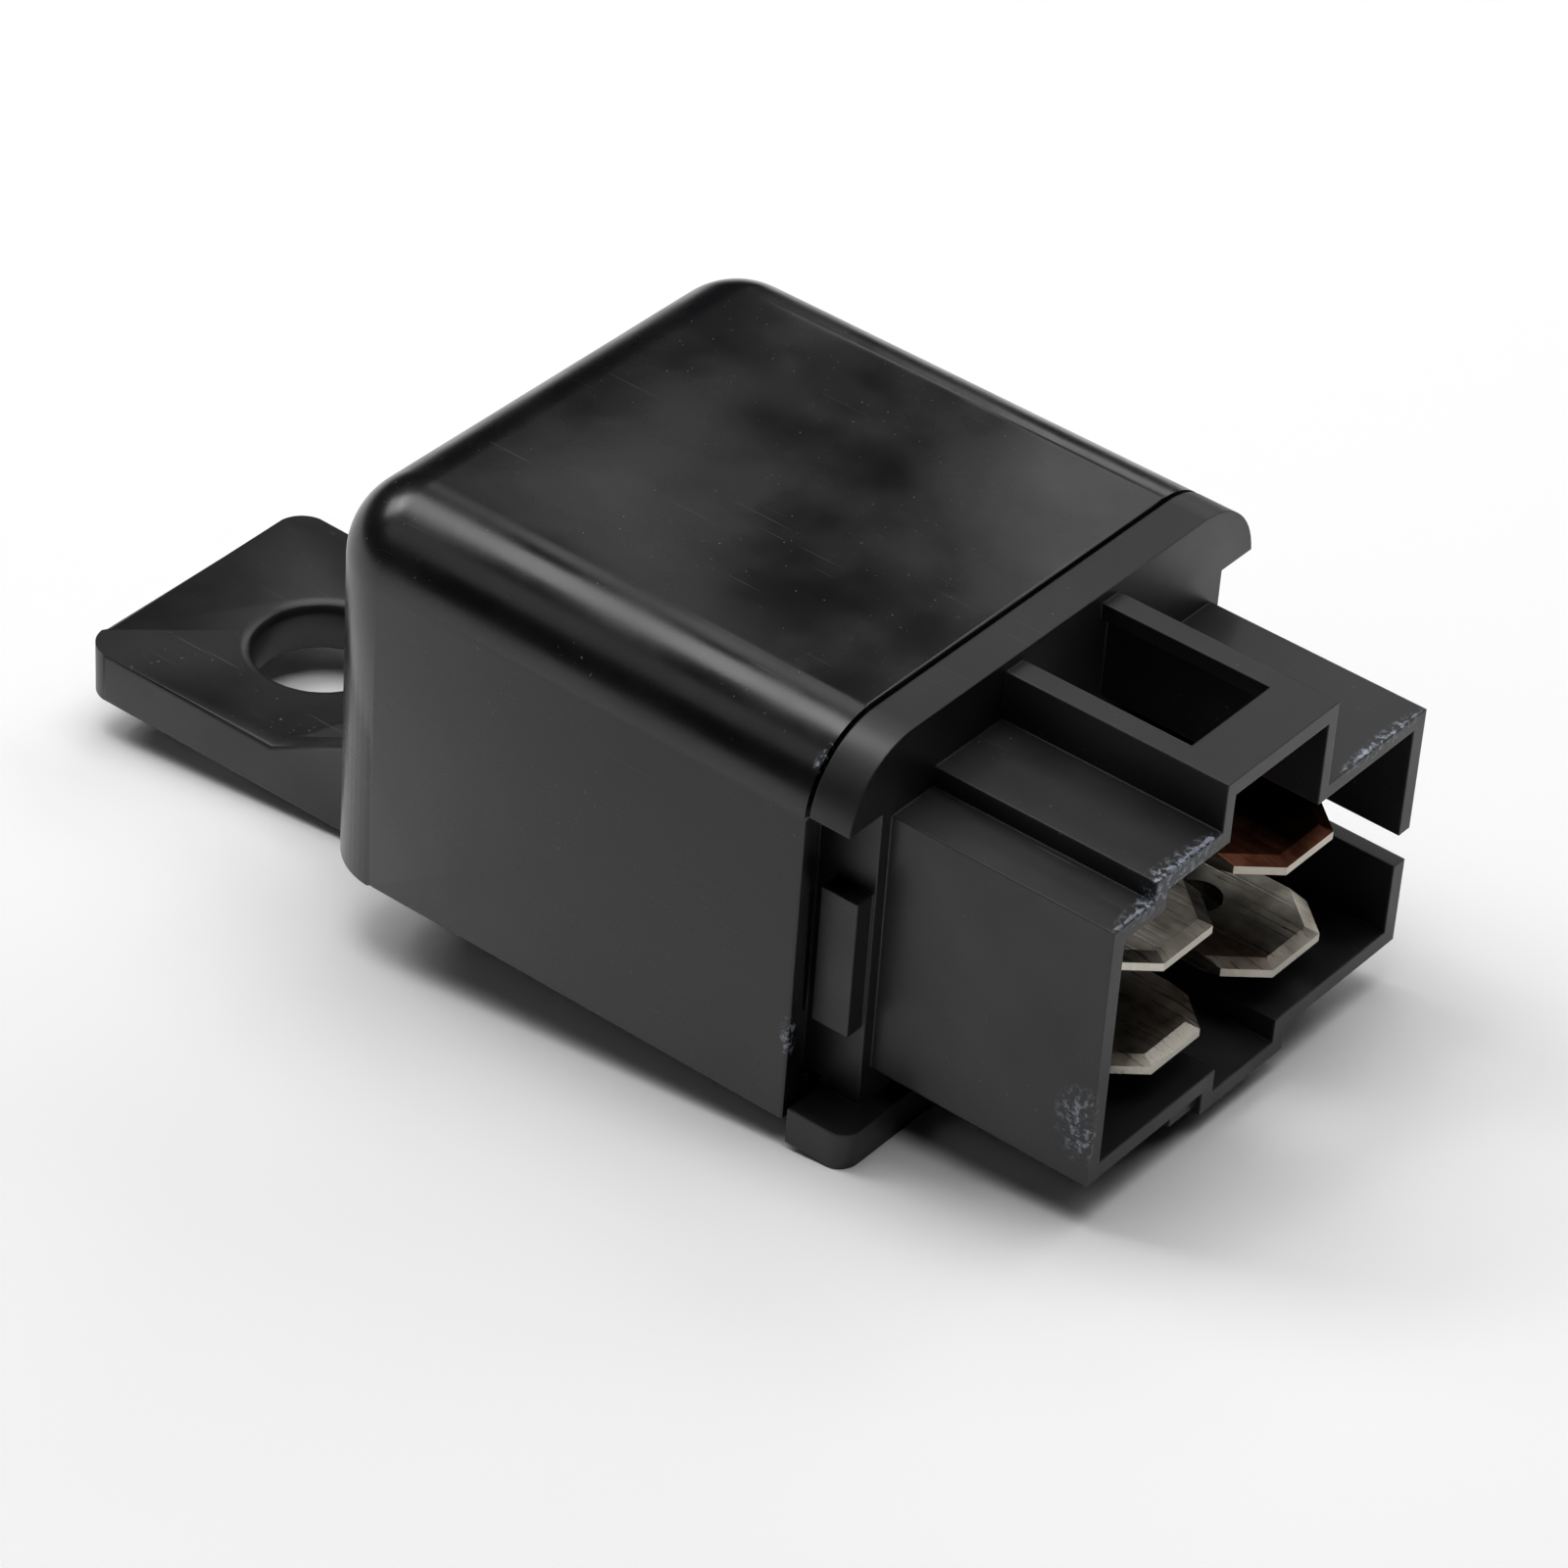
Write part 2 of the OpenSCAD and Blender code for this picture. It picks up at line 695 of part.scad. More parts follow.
// Leaf seen from above: flat on the yoke's leg, bent round the armature's heel, then along its back
module leaf_2d() {
    r = leaf_bend_r;
    outer = r + leaf_t;
    arm = turned([leaf_x - leaf_t, pivot[1]]);
    cy = leaf_back_y + outer;
    cx = (outer + arm[0] * cos(open_angle) + (arm[1] - cy) * sin(open_angle)) / cos(open_angle);
    from = 270;
    step = (180 + open_angle - from) / bend_steps;
    polygon(concat(
        [[cx + leaf_l, leaf_back_y]],
        [for (i = [0:bend_steps]) on_arc([cx, cy], outer, from + i * step)],
        [turned([leaf_x - leaf_t, leaf_end]), turned([leaf_x, leaf_end])],
        [for (i = [bend_steps:-1:0]) on_arc([cx, cy], r, from + i * step)],
        [[cx + leaf_l, leaf_back_y + leaf_t]]
    ));
}

module contact_spring() color("#c08a4e") at_case() difference() {
    along_z(leaf_w) leaf_2d();
    for (s = [-1, 1]) translate([yoke_rivet_x, leaf_back_y - past, coil_z + s * rivet_dz])
        rotate([-90, 0, 0]) cylinder(d = rivet_d + 2 * press, h = leaf_t + 2 * past);
    opened() {
        armature_rivet_holes(leaf_x - leaf_t - past, leaf_t + 2 * past);
        translate([leaf_x - leaf_t - past, contact_y, fixed_z]) rotate([0, 90, 0])
            cylinder(d = rivet_d + 2 * press, h = leaf_t + 2 * past);
    }
}

// Rivet along +X from its head's outer face: head, then a shank of the given length
module rivet(shank_l) {
    cylinder(d = rivet_d + 2 * head_t, h = head_t);
    cylinder(d = rivet_d, h = head_t + shank_l);
}

module armature_rivets() color("#9b8a6c") at_case() opened()
    for (s = [-1, 1]) translate([leaf_x - leaf_t - head_t, armature_rivet_y, coil_z + s * rivet_dz])
        rotate([0, 90, 0]) rivet(leaf_t + armature_t - air);

module yoke_rivets() color("#9b8a6c") at_case()
    for (s = [-1, 1]) translate([yoke_rivet_x, leaf_back_y - head_t, coil_z + s * rivet_dz])
        rotate([-90, 0, 0]) rivet(leaf_t + yoke_t - air / 2);

module terminal_rivet() color("#9b8a6c") at_case()
    translate([yoke_back + blade_t + head_t, terminal_rivet_y, terminal_rivet_z]) rotate([0, -90, 0])
        rivet(blade_t + yoke_t - air);

// ---- contacts ----

module moving_contact() color("#d9d9d6") at_case() opened() {
    translate([leaf_x - leaf_t - head_t, contact_y, fixed_z]) rotate([0, 90, 0]) rivet(leaf_t + contact_t / 2);
    translate([leaf_x, contact_y, fixed_z]) rotate([0, 90, 0]) cylinder(d = contact_d, h = contact_t);
}

module fixed_contact() color("#d9d9d6") at_case() {
    translate([fixed_x - contact_t, contact_y, fixed_z]) rotate([0, 90, 0])
        cylinder(d = contact_d, h = contact_t);
    translate([fixed_x + blade_t + head_t, contact_y, fixed_z]) rotate([0, -90, 0])
        rivet(blade_t + contact_t / 2);
}

module backstop() color("#a9abad") at_case() {
    cube_to([stop_x - stop_t, leaf_end - stop_w, stop_z], [plug_x + stop_root, leaf_end, stop_z + stop_t]);
    cube_to(
        [stop_x - stop_t, leaf_end - stop_w, coil_z + leaf_w / 2 - stop_hook],
        [stop_x, leaf_end, stop_z + stop_t]
    );
}

module resistor() color("#7f8f98") at_case()
    translate([resistor_x, resistor_y, (rows[0] + rows[1] - resistor_l) / 2]) cylinder(d = resistor_d, h = resistor_l);

module resistor_leads() color("#c9c9c9") at_case() {
    lead = (row_pitch + blade_t - resistor_l) / 2;
    for (z = [rows[0] - blade_t / 2, rows[1] + blade_t / 2 - lead])
        translate([resistor_x, resistor_y, z]) cylinder(d = wire_d, h = lead);
}

// Point just off the winding's surface, at an angle from +Y
function off_winding(a) = [
    coil_y + (winding_d / 2 + wire_d / 2 + air / 3) * cos(a),
    coil_z + (winding_d / 2 + wire_d / 2 + air / 3) * sin(a),
];

// Wire end from the winding, round the edge of the yoke's leg, along the post; s = 1 above, -1 below
module coil_lead(post_z, s) at_case() {
    x = yoke_front - bobbin_t - 1.5 * wire_d;
    start = off_winding(s * lead_angle);
    y = post_y + post_w / 2;
    over = coil_z + s * (yoke_w / 2 + wire_d / 2 + 3 * air);
    on_post = post_z + s * (blade_t / 2 + wire_d / 2 + air / 5);
    wire([
        [x, start[0], start[1]], [x, leg_y + yoke_t + 3 * air, over], [x, y, over],
        [post_front + wire_d, y, on_post], [post_front + 4 * wire_d, y, on_post],
    ], wire_d);
}

module coil_lead_upper() color("#b8602e") coil_lead(rows[1], 1);

module coil_lead_lower() color("#b8602e") coil_lead(rows[0], -1);

cover();
bracket();
base();
load_terminal();
common_terminal();
coil_terminal_upper();
coil_terminal_lower();
yoke();
core();
bobbin();
winding();
armature();
contact_spring();
armature_rivets();
yoke_rivets();
moving_contact();
fixed_contact();
backstop();
terminal_rivet();
resistor();
resistor_leads();
coil_lead_upper();
coil_lead_lower();
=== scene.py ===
import json
import math
import random

import bmesh
import bpy
from mathutils import Matrix, Vector


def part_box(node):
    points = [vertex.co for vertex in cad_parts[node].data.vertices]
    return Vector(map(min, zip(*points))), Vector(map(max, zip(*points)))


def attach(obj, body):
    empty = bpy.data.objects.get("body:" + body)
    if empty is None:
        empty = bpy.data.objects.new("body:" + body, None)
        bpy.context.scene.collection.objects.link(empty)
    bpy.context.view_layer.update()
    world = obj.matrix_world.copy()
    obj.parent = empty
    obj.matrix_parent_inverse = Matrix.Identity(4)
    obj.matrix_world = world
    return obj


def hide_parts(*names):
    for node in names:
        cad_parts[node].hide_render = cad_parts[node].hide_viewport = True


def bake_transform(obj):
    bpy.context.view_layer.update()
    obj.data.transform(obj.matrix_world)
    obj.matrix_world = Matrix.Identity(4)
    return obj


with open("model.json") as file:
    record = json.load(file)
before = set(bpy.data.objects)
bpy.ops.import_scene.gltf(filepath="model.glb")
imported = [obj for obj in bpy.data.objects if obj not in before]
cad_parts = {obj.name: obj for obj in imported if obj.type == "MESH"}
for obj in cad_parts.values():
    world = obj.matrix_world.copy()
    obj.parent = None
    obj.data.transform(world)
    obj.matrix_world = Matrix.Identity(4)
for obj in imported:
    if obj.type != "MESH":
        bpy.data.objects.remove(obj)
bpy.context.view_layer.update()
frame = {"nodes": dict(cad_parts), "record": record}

MM = 0.001
NODES = frame["nodes"]

# Corners of the mouldings that the pieces below are placed from
case_low, case_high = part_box("cover")
slab_low, slab_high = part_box("bracket")
foot_low, foot_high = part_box("base")
MOUTH_X = foot_high.x


# ---- colours and node helper ----


def srgb(code):
    """A hex colour as it is written, as the linear values that a shader takes."""
    parts = [int(code[i : i + 2], 16) / 255 for i in (0, 2, 4)]
    return [c / 12.92 if c <= 0.04045 else ((c + 0.055) / 1.055) ** 2.4 for c in parts] + [1.0]


def add(tree, kind, inputs=None, out=0, **settings):
    """Adds a node. Settings are its properties; each input is a source, a value or a hex colour."""
    node = tree.nodes.new(kind)
    for key, value in settings.items():
        setattr(node, key, value)
    for key, value in (inputs or {}).items():
        if isinstance(value, bpy.types.NodeSocket):
            tree.links.new(value, node.inputs[key])
        else:
            node.inputs[key].default_value = srgb(value) if isinstance(value, str) else value
    return node.outputs[out] if node.outputs else node


def per_mm(size):
    """Scale of a pattern whose features are size millimetres across."""
    return 1 / (size * MM)


def new_material(name, inputs):
    """A material whose shader has these values, with its tree, shader and the part's own coordinates."""
    material = bpy.data.materials.new(name)
    material.use_nodes = True
    tree = material.node_tree
    shader = tree.nodes["Principled BSDF"]
    for key, value in inputs.items():
        shader.inputs[key].default_value = srgb(value) if isinstance(value, str) else value
    return material, tree, shader, add(tree, "ShaderNodeTexCoord", out="Object")


def dress(tree, shader, colour, roughness, height, depth_mm, edge_mm=0):
    """Links a finish into its shader: colour, roughness and a relief depth_mm deep. Where edge_mm
    is given, light also rounds the sharp edges by that radius."""
    inputs = {"Height": height, "Strength": 1.0, "Distance": depth_mm * MM}
    if edge_mm:
        inputs["Normal"] = add(tree, "ShaderNodeBevel", {"Radius": edge_mm * MM}, samples=6)
    relief = add(tree, "ShaderNodeBump", inputs)
    for socket, source in (("Base Color", colour), ("Roughness", roughness), ("Normal", relief)):
        tree.links.new(source, shader.inputs[socket])


# ---- wear ----


def worn_spots(tree, where, spots):
    """1 inside each worn spot, given as its centre and half sizes in metres, fading out to 0."""
    total = 0.0
    for centre, reach in spots:
        offset = add(tree, "ShaderNodeVectorMath", {0: where, 1: centre}, operation="SUBTRACT")
        share = add(tree, "ShaderNodeVectorMath", {0: offset, 1: reach}, operation="DIVIDE")
        far = add(tree, "ShaderNodeVectorMath", {0: share}, "Value", operation="LENGTH")
        near = add(tree, "ShaderNodeMapRange", {"Value": far, "From Min": 1.0, "From Max": 0.45})
        total = add(tree, "ShaderNodeMath", {0: total, 1: near}, operation="MAXIMUM")
    return total


def hairlines(tree, where, length_mm, width_mm, turn, share):
    """Sparse fine scratches, length_mm long and width_mm wide, turned by an angle about Z."""
    stretched = add(
        tree,
        "ShaderNodeMapping",
        {
            "Vector": where,
            "Rotation": (0.35, 0.2, math.radians(turn)),
            "Scale": (per_mm(length_mm), per_mm(width_mm), per_mm(width_mm)),
        },
    )
    lines = add(tree, "ShaderNodeTexNoise", {"Vector": stretched, "Scale": 1.0, "Detail": 1.0})
    return add(
        tree,
        "ShaderNodeMapRange",
        {"Value": lines, "From Min": 0.77, "From Max": 0.82, "To Max": share},
    )


# ---- finishes ----


def black_nylon(name, colour, haze, roughness, scratch_share, spots=(), edge_mm=0):
    """Black nylon from a polished mould. A dark, slightly uneven gloss with a faint ripple,
    a few dust specks and hairlines, and chalky bruises where it has been knocked."""
    material, tree, shader, where = new_material(name, {"IOR": 1.53})
    # Cloudy haze in patches about 7 mm across
    cloud = add(tree, "ShaderNodeTexNoise", {"Vector": where, "Scale": per_mm(7), "Detail": 2.0})
    hazy = add(tree, "ShaderNodeMapRange", {"Value": cloud, "From Min": 0.4, "From Max": 0.65})
    # Dust grains about 0.16 mm across, a few to a square centimetre
    grain = add(tree, "ShaderNodeTexNoise", {"Vector": where, "Scale": per_mm(0.16), "Detail": 0.0})
    dust = add(tree, "ShaderNodeMapRange", {"Value": grain, "From Min": 0.82, "From Max": 0.86})
    marks = add(tree, "ShaderNodeMath", {0: dust, 1: hazy}, operation="MULTIPLY")
    for length_mm, width_mm, turn in ((9, 0.09, 28), (7, 0.1, -41)):
        lines = hairlines(tree, where, length_mm, width_mm, turn, scratch_share)
        marks = add(tree, "ShaderNodeMath", {0: marks, 1: lines}, operation="MAXIMUM")
    # Bruises show the chalky grain of torn nylon, about 0.3 mm across
    chalk = add(
        tree,
        "ShaderNodeTexNoise",
        {"Vector": where, "Scale": per_mm(0.32), "Detail": 4.0, "Roughness": 0.7},
    )
    torn = add(tree, "ShaderNodeMapRange", {"Value": chalk, "From Min": 0.5, "From Max": 0.62})
    bruise = add(
        tree, "ShaderNodeMath", {0: torn, 1: worn_spots(tree, where, spots)}, operation="MULTIPLY"
    )
    base = add(tree, "ShaderNodeMix", {0: hazy, 6: colour, 7: haze}, 2, data_type="RGBA")
    marked = add(tree, "ShaderNodeMix", {0: marks, 6: base, 7: "5c5d60"}, 2, data_type="RGBA")
    shade = add(tree, "ShaderNodeMix", {0: bruise, 6: marked, 7: "9aa1ad"}, 2, data_type="RGBA")
    # Finger smears about 4 mm across change the gloss
    smear = add(tree, "ShaderNodeTexNoise", {"Vector": where, "Scale": per_mm(4.5), "Detail": 4.0})
    gloss = add(
        tree,
        "ShaderNodeMapRange",
        {"Value": smear, "From Min": 0.3, "From Max": 0.7, "To Min": roughness - 0.05, "To Max": roughness + 0.08},
    )
    dull = add(tree, "ShaderNodeMath", {0: marks, 1: bruise}, operation="MAXIMUM")
    rough = add(tree, "ShaderNodeMath", {0: dull, 1: 0.3, 2: gloss}, operation="MULTIPLY_ADD")
    # Sink ripple 2 mm across with the mould's fine grain on it
    ripple = add(tree, "ShaderNodeTexNoise", {"Vector": where, "Scale": per_mm(2.2), "Detail": 1.0})
    skin = add(tree, "ShaderNodeTexNoise", {"Vector": where, "Scale": per_mm(0.12), "Detail": 2.0})
    height = add(tree, "ShaderNodeMath", {0: skin, 1: 0.12, 2: ripple}, operation="MULTIPLY_ADD")
    dress(tree, shader, shade, rough, height, 0.012, edge_mm)
    return material


def worked_metal(name, colour, tarnish, roughness, grain_mm):
    """Rolled, drawn or plated metal. Tarnish in soft clouds over a grain of these sizes along X, Y and Z."""
    material, tree, shader, where = new_material(name, {"Metallic": 1.0})
    cloud = add(tree, "ShaderNodeTexNoise", {"Vector": where, "Scale": per_mm(2), "Detail": 4.0})
    stain = add(tree, "ShaderNodeMapRange", {"Value": cloud, "From Min": 0.35, "From Max": 0.7})
    shade = add(tree, "ShaderNodeMix", {0: stain, 6: colour, 7: tarnish}, 2, data_type="RGBA")
    drawn = add(tree, "ShaderNodeMapping", {"Vector": where, "Scale": [per_mm(g) for g in grain_mm]})
    grain = add(tree, "ShaderNodeTexNoise", {"Vector": drawn, "Scale": 1.0, "Detail": 3.0})
    rough = add(
        tree,
        "ShaderNodeMapRange",
        {"Value": grain, "From Min": 0.3, "From Max": 0.7, "To Min": roughness - 0.07, "To Max": roughness + 0.1},
    )
    dress(tree, shader, shade, rough, grain, 0.006)
    return material


def blade_strip(name, colour, tarnish, roughness, spots=()):
    """Stamped and coined blade strip. Tarnished rolled faces, brighter where the tip and the
    sheared edges show bare metal, with a rubbed band where a socket has gripped it."""
    material, tree, shader, where = new_material(name, {"Metallic": 1.0})
    cloud = add(tree, "ShaderNodeTexNoise", {"Vector": where, "Scale": per_mm(1.6), "Detail": 4.0})
    stain = add(tree, "ShaderNodeMapRange", {"Value": cloud, "From Min": 0.3, "From Max": 0.65})
    face = add(tree, "ShaderNodeMix", {0: stain, 6: colour, 7: tarnish}, 2, data_type="RGBA")
    # Sheared edges face away from +Z and -Z
    normal = add(tree, "ShaderNodeNewGeometry", out="Normal")
    upright = add(tree, "ShaderNodeSeparateXYZ", {"Vector": normal}, "Z")
    flat = add(tree, "ShaderNodeMath", {0: upright}, operation="ABSOLUTE")
    sheared = add(tree, "ShaderNodeMapRange", {"Value": flat, "From Min": 0.9, "From Max": 0.5, "To Max": 0.8})
    bare = add(tree, "ShaderNodeMath", {0: sheared, 1: worn_spots(tree, where, spots)}, operation="MAXIMUM")
    shade = add(tree, "ShaderNodeMix", {0: bare, 6: face, 7: "c9c4b9"}, 2, data_type="RGBA")
    # Rolling lines run along the blade
    rolled = add(
        tree,
        "ShaderNodeMapping",
        {"Vector": where, "Scale": (per_mm(6), per_mm(0.12), per_mm(0.3))},
    )
    grain = add(tree, "ShaderNodeTexNoise", {"Vector": rolled, "Scale": 1.0, "Detail": 3.0})
    rough = add(
        tree,
        "ShaderNodeMapRange",
        {"Value": grain, "From Min": 0.3, "From Max": 0.7, "To Min": roughness - 0.06, "To Max": roughness + 0.12},
    )
    dress(tree, shader, shade, rough, grain, 0.008)
    return material


def enamelled_wire(name):
    """Enamelled copper wire in close turns. Rounded ridges 0.25 mm apart under a lacquer gloss, with painted shade
    that darkens the colour into the grooves between turns.
    """
    coat = {"Metallic": 1.0, "Coat Weight": 0.5, "Coat Roughness": 0.15}
    material, tree, shader, where = new_material(name, coat)
    along = add(tree, "ShaderNodeSeparateXYZ", {"Vector": where}, "X")
    angle = add(tree, "ShaderNodeMath", {0: along, 1: 2 * math.pi * per_mm(0.25)}, operation="MULTIPLY")
    turn = add(tree, "ShaderNodeMath", {0: angle}, operation="SINE")
    # Painted shade: the colour turns dark brown in the grooves between the turns and copper on their crests
    tone = add(tree, "ShaderNodeMapRange", {"Value": turn, "From Min": -1.0, "From Max": 0.4})
    shade = add(tree, "ShaderNodeMix", {0: tone, 6: "3d1a0b", 7: "a95325"}, 2, data_type="RGBA")
    rough = add(tree, "ShaderNodeMapRange", {"Value": turn, "From Min": -1.0, "To Min": 0.42, "To Max": 0.3})
    dress(tree, shader, shade, rough, turn, 0.06)
    return material


def matt_skin(name, colour, shadow, roughness, grain_mm):
    """Unpainted moulding, lacquer or ink. An even tone in soft clouds over a fine skin."""
    material, tree, shader, where = new_material(name, {"IOR": 1.5})
    cloud = add(tree, "ShaderNodeTexNoise", {"Vector": where, "Scale": per_mm(10 * grain_mm), "Detail": 3.0})
    patch = add(tree, "ShaderNodeMapRange", {"Value": cloud, "From Min": 0.3, "From Max": 0.7})
    shade = add(tree, "ShaderNodeMix", {0: patch, 6: colour, 7: shadow}, 2, data_type="RGBA")
    skin = add(tree, "ShaderNodeTexNoise", {"Vector": where, "Scale": per_mm(grain_mm), "Detail": 2.0})
    rough = add(
        tree,
        "ShaderNodeMapRange",
        {"Value": skin, "From Min": 0.2, "From Max": 0.8, "To Min": roughness - 0.08, "To Max": roughness + 0.1},
    )
    dress(tree, shader, shade, rough, skin, 0.01)
    return material


# Knocked places: the front edges of the left ledges and of the side rail, the shroud's
# lower left side near its mouth, the cover's open end, and the lower left blade's tip
KNOCKED_BASE = [
    (Vector((MOUTH_X, -7.5 * MM, foot_high.z - 3.4 * MM)), Vector((0.9, 4.2, 1.3)) * MM),
    (Vector((MOUTH_X, 8.0 * MM, foot_high.z - 4.8 * MM)), Vector((0.6, 3.6, 0.5)) * MM),
    (Vector((MOUTH_X - 0.5 * MM, -11.2 * MM, foot_low.z + 6.5 * MM)), Vector((1.6, 0.5, 2.2)) * MM),
]
KNOCKED_COVER = [
    (Vector((case_high.x, case_low.y, case_low.z + 4.5 * MM)), Vector((0.5, 0.6, 1.4)) * MM),
    (Vector((case_high.x, case_low.y + 1.0 * MM, case_high.z - 1.2 * MM)), Vector((0.4, 1.0, 0.8)) * MM),
]
tip_low, tip_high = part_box("coil_terminal_lower")
RUBBED_TIP = [
    (Vector((tip_high.x - 0.3 * MM, tip_high.y - 3.2 * MM, tip_high.z)), Vector((0.9, 3.4, 0.8)) * MM),
]

FINISHES = {
    "cover_plastic": black_nylon("polished_black_nylon", "0b0b0d", "121214", 0.24, 0.35, KNOCKED_COVER),
    "bracket_plastic": black_nylon("satin_black_nylon", "131315", "1a1a1c", 0.4, 0.5),
    "base_plastic": black_nylon("moulded_black_nylon", "111113", "1a1a1c", 0.42, 0.5, KNOCKED_BASE, 0.12),
    "copper_blade": blade_strip("heat_tinted_copper", "8a5640", "553226", 0.34),
    "tinned_blade": blade_strip("tin_plated_brass", "b3ada1", "7a746a", 0.3, RUBBED_TIP),
    "magnet_steel": worked_metal("zinc_plated_iron", "b7babd", "8f9398", 0.32, (0.4, 0.4, 4.0)),
    "bobbin_plastic": matt_skin("natural_nylon", "d9d2bf", "cbc2aa", 0.5, 0.3),
    "copper_wire": enamelled_wire("enamelled_copper_wire"),
    "spring_bronze": worked_metal("rolled_phosphor_bronze", "c78a52", "9c6538", 0.28, (0.15, 4.0, 0.15)),
    "rivet_metal": worked_metal("peened_brass", "b59f72", "8a7750", 0.35, (0.3, 0.3, 0.3)),
    "contact_silver": worked_metal("silver_contact_alloy", "dcdcd8", "b9b8b2", 0.25, (0.4, 0.4, 0.4)),
    "spring_steel": worked_metal("nickel_plated_strip", "a8abad", "85898c", 0.3, (4.0, 0.15, 0.15)),
    "resistor_body": matt_skin("lacquered_ceramic", "5f7885", "4f6672", 0.4, 0.3),
    "tinned_wire": worked_metal("tinned_copper_wire", "cfd0d0", "a9aaac", 0.28, (0.2, 0.2, 0.2)),
}
PAD_INK = matt_skin("white_pad_ink", "e4e4e2", "c3c4c5", 0.55, 0.12)
TORN_NYLON = matt_skin("torn_chalky_nylon", "8b929e", "565a62", 0.6, 0.06)
SLOT_OF = {s["node"]: s["material_slot"] for s in frame["record"]["subparts"]}
BODY_OF = {n: b for b, members in frame["record"]["behaviour"]["bodies"].items() for n in members}


# ---- pieces that stand for their solids ----


def new_piece(name, solid, finish, body, smooth_to=38):
    """Turns a bmesh into a piece with its finish and body, sharp past smooth_to degrees."""
    mesh = bpy.data.meshes.new(name)
    solid.to_mesh(mesh)
    solid.free()
    mesh.shade_smooth()
    mesh.set_sharp_from_angle(angle=math.radians(smooth_to))
    mesh.materials.append(finish)
    piece = bpy.data.objects.new(name, mesh)
    bpy.context.scene.collection.objects.link(piece)
    if body:
        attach(piece, body)
    return piece


def solid_of(node):
    """A working copy of a node's mesh with its split corners joined."""
    solid = bmesh.new()
    solid.from_mesh(NODES[node].data)
    bmesh.ops.remove_doubles(solid, verts=solid.verts, dist=0.0005 * MM)
    return solid


def eased(node, edge_mm, shortest_mm, join_flats):
    """The node's own form with its sharp outer edges eased, as a mould or a press leaves them."""
    solid = solid_of(node)
    if join_flats:
        bmesh.ops.dissolve_limit(solid, angle_limit=math.radians(0.6), verts=solid.verts, edges=solid.edges)
    sharp = [
        e
        for e in solid.edges
        if len(e.link_faces) == 2
        and e.calc_face_angle_signed(0) > math.radians(25)
        and e.calc_length() > shortest_mm * MM
    ]
    bmesh.ops.bevel(
        solid,
        geom=sharp,
        offset=edge_mm * MM,
        offset_type="OFFSET",
        segments=2,
        profile=0.5,
        affect="EDGES",
        clamp_overlap=False,
    )
    piece = new_piece(node + "_eased", solid, FINISHES[SLOT_OF[node]], BODY_OF[node])
    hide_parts(node)


def bending_leaf():
    """The leaf spring between the yoke and the armature, with rows cut across it along X and Y about every
    millimetre.
    """
    node = "contact_spring"
    solid = solid_of(node)
    low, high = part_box(node)
    for axis in (0, 1):
        across = Vector((0, 0, 0))
        across[axis] = 1
        length = high[axis] - low[axis]
        rows = int(length / MM)
        for i in range(1, rows):
            cut = across * (low[axis] + length * i / rows)
            everything = solid.verts[:] + solid.edges[:] + solid.faces[:]
            bmesh.ops.bisect_plane(solid, geom=everything, plane_co=cut, plane_no=across)
    piece = new_piece("bending_leaf", solid, FINISHES[SLOT_OF[node]], None)
    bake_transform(piece)
    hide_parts(node)


eased("cover", 0.15, 2.0, False)
eased("bracket", 0.25, 0.25, True)

bending_leaf()
for node in NODES:
    if not NODES[node].hide_render:
        mesh = NODES[node].data
        mesh.materials.clear()
        mesh.materials.append(FINISHES[SLOT_OF[node]])


# ---- printed diagram (defined, never placed) and burrs ----

INK_W = 0.42 * MM
INK_T = 0.018 * MM
INK_SUNK = 0.004 * MM


def ink_line(solid, path, closed=False):
    """Lays one printed line along a path of points on the cover's top, mitred at its corners."""
    count = len(path)
    rings = []
    for i, point in enumerate(path):
        after = path[(i + 1) % count] - point if closed or i < count - 1 else None
        before = point - path[i - 1] if closed or i else after
        after = before if after is None else after
        side = (before.normalized() + after.normalized()).normalized().orthogonal()
        reach = INK_W / 2 / abs(side.dot(before.normalized().orthogonal()))
        edge = [point + side * reach, point - side * reach]
        low, high = case_high.z - INK_SUNK, case_high.z + INK_T
        spots = [(edge[0], high), (edge[1], high), (edge[1], low), (edge[0], low)]
        rings.append([solid.verts.new((xy.x, xy.y, z)) for xy, z in spots])
    pairs = list(zip(rings, rings[1:]))
    if closed:
        pairs.append((rings[-1], rings[0]))
    else:
        solid.faces.new(rings[0])
        solid.faces.new(reversed(rings[-1]))
    for ring, other in pairs:
        for i in range(4):
            j = (i + 1) % 4
            solid.faces.new((ring[i], other[i], other[j], ring[j]))


def printed_diagram():
    """A plain coil-and-contact diagram in white pad-printed ink, with no lettering."""
    centre = Vector((case_high.x - 11.15 * MM, 0.35 * MM))
    solid = bmesh.new()

    def at(right, up):
        return centre + Vector((-up, right)) * MM

    post, ring, reach = 3.9, 0.55, 4.9
    coil = [(-post - 1.9, -1.5), (-post + 1.9, -1.5), (-post + 1.9, 1.5), (-post - 1.9, 1.5)]
    ink_line(solid, [at(*p) for p in coil], closed=True)
    ink_line(solid, [at(post, -reach + ring), at(post, -1.7), at(post - 1.7, 1.6)])
    ink_line(solid, [at(post, reach - ring), at(post, 1.7)])
    for up in (-1, 1):
        ink_line(solid, [at(-post, up * 1.5), at(-post, up * (reach - ring))])
        for right in (-post, post):
            turns = [i * math.pi / 8 for i in range(16)]
            ink_line(
                solid,
                [at(right + ring * math.cos(a), up * reach + ring * math.sin(a)) for a in turns],
                closed=True,
            )
    for i in range(4):
        ink_line(solid, [at(-1.6 + 1.2 * i, 0), at(-0.9 + 1.2 * i, 0)])
    bmesh.ops.recalc_face_normals(solid, faces=solid.faces)
    new_piece("printed_diagram", solid, PAD_INK, "housing")


